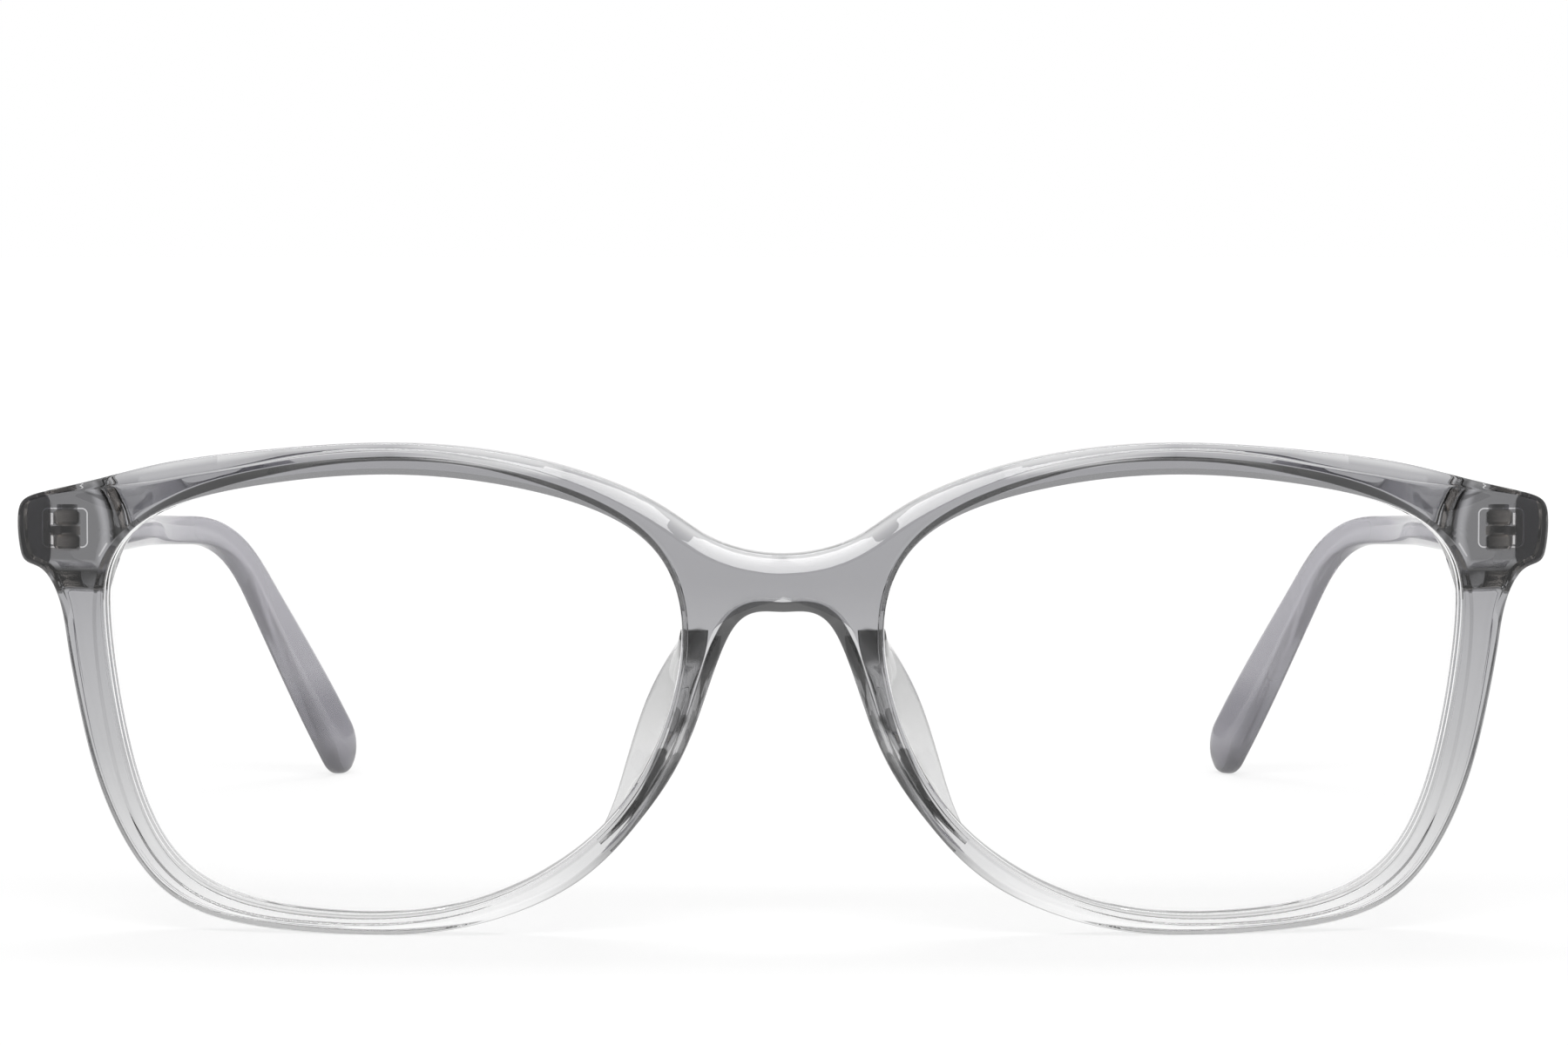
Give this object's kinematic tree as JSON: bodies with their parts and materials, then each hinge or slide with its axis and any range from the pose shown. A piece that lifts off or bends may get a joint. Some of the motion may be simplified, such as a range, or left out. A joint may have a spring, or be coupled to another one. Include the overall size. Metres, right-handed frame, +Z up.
{
  "type": "eyeglasses",
  "caption": "Oval full-rim eyeglasses in grey crystal plastic fading to clear, with clear lenses, glued nose pads and temples that fold on barrel hinges.",
  "frame": {"origin": "on the table under the middle of the open glasses", "axes": "+Z up from the table, +X towards the wearer's left temple, +Y back from the lenses to the ears"},
  "size_m": [0.138, 0.1394, 0.0446],
  "materials": {
    "front_plastic": "polished see-through grey, fading to clear at the bottom",
    "temple_plastic": "polished see-through lilac grey",
    "clear_plastic": "polished clear",
    "lens": "clear",
    "hinge_metal": "nickel silver, satin",
    "screw_metal": "bright steel"
  },
  "bodies": {
    "front": {"front_frame": "front_plastic", "lens_right": "lens", "lens_left": "lens", "nose_pad_right": "clear_plastic", "nose_pad_left": "clear_plastic", "front_leaf_right": "hinge_metal", "front_leaf_left": "hinge_metal", "hinge_screw_right": "screw_metal", "hinge_screw_left": "screw_metal"},
    "right_temple": {"temple_right": "temple_plastic", "temple_leaf_right": "hinge_metal"},
    "left_temple": {"temple_left": "temple_plastic", "temple_leaf_left": "hinge_metal"}
  },
  "joints": [
    {"name": "right_temple_fold", "type": "hinge", "parent": "front", "child": "right_temple", "pos_m": [-0.06451, -0.05491, 0.03621], "axis": [0, -0.0704, -0.9975], "range_deg": [0, 83.5]},
    {"name": "left_temple_fold", "type": "hinge", "parent": "front", "child": "left_temple", "pos_m": [0.06451, -0.05491, 0.03621], "axis": [0, 0.0704, 0.9975], "range_deg": [0, 70]}
  ]
}
